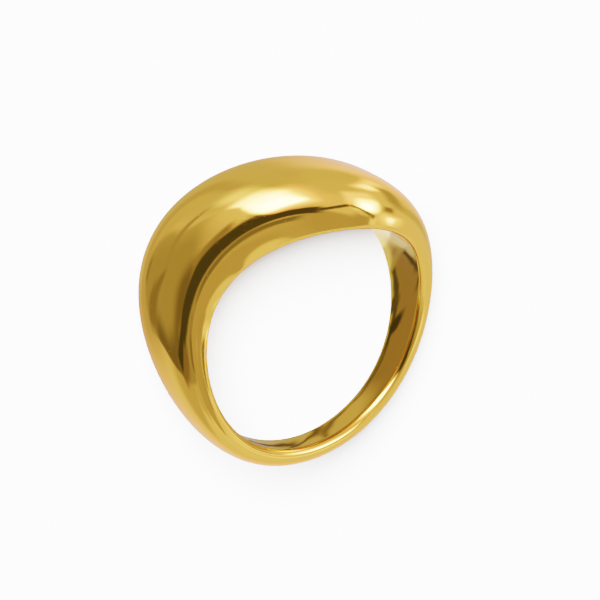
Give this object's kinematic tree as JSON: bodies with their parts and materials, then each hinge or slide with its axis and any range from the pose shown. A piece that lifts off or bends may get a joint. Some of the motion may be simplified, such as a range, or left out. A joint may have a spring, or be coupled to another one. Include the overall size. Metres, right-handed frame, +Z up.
{
  "type": "dome ring",
  "caption": "Finger ring with a wide, thick domed front that sways across the finger and tapers smoothly into a slim rounded shank.",
  "frame": {"origin": "on the floor, under the middle of the ring's bounding box", "axes": "+Z up, with the ring lying on its side as it rests by itself; the middle of the dome faces -Y; the finger bore leans about 16 degrees from +Z toward -X"},
  "size_m": [0.0212, 0.023, 0.0086],
  "materials": {
    "gold": "polished gold plating"
  },
  "bodies": {
    "root": {"ring": "gold"}
  },
  "joints": []
}
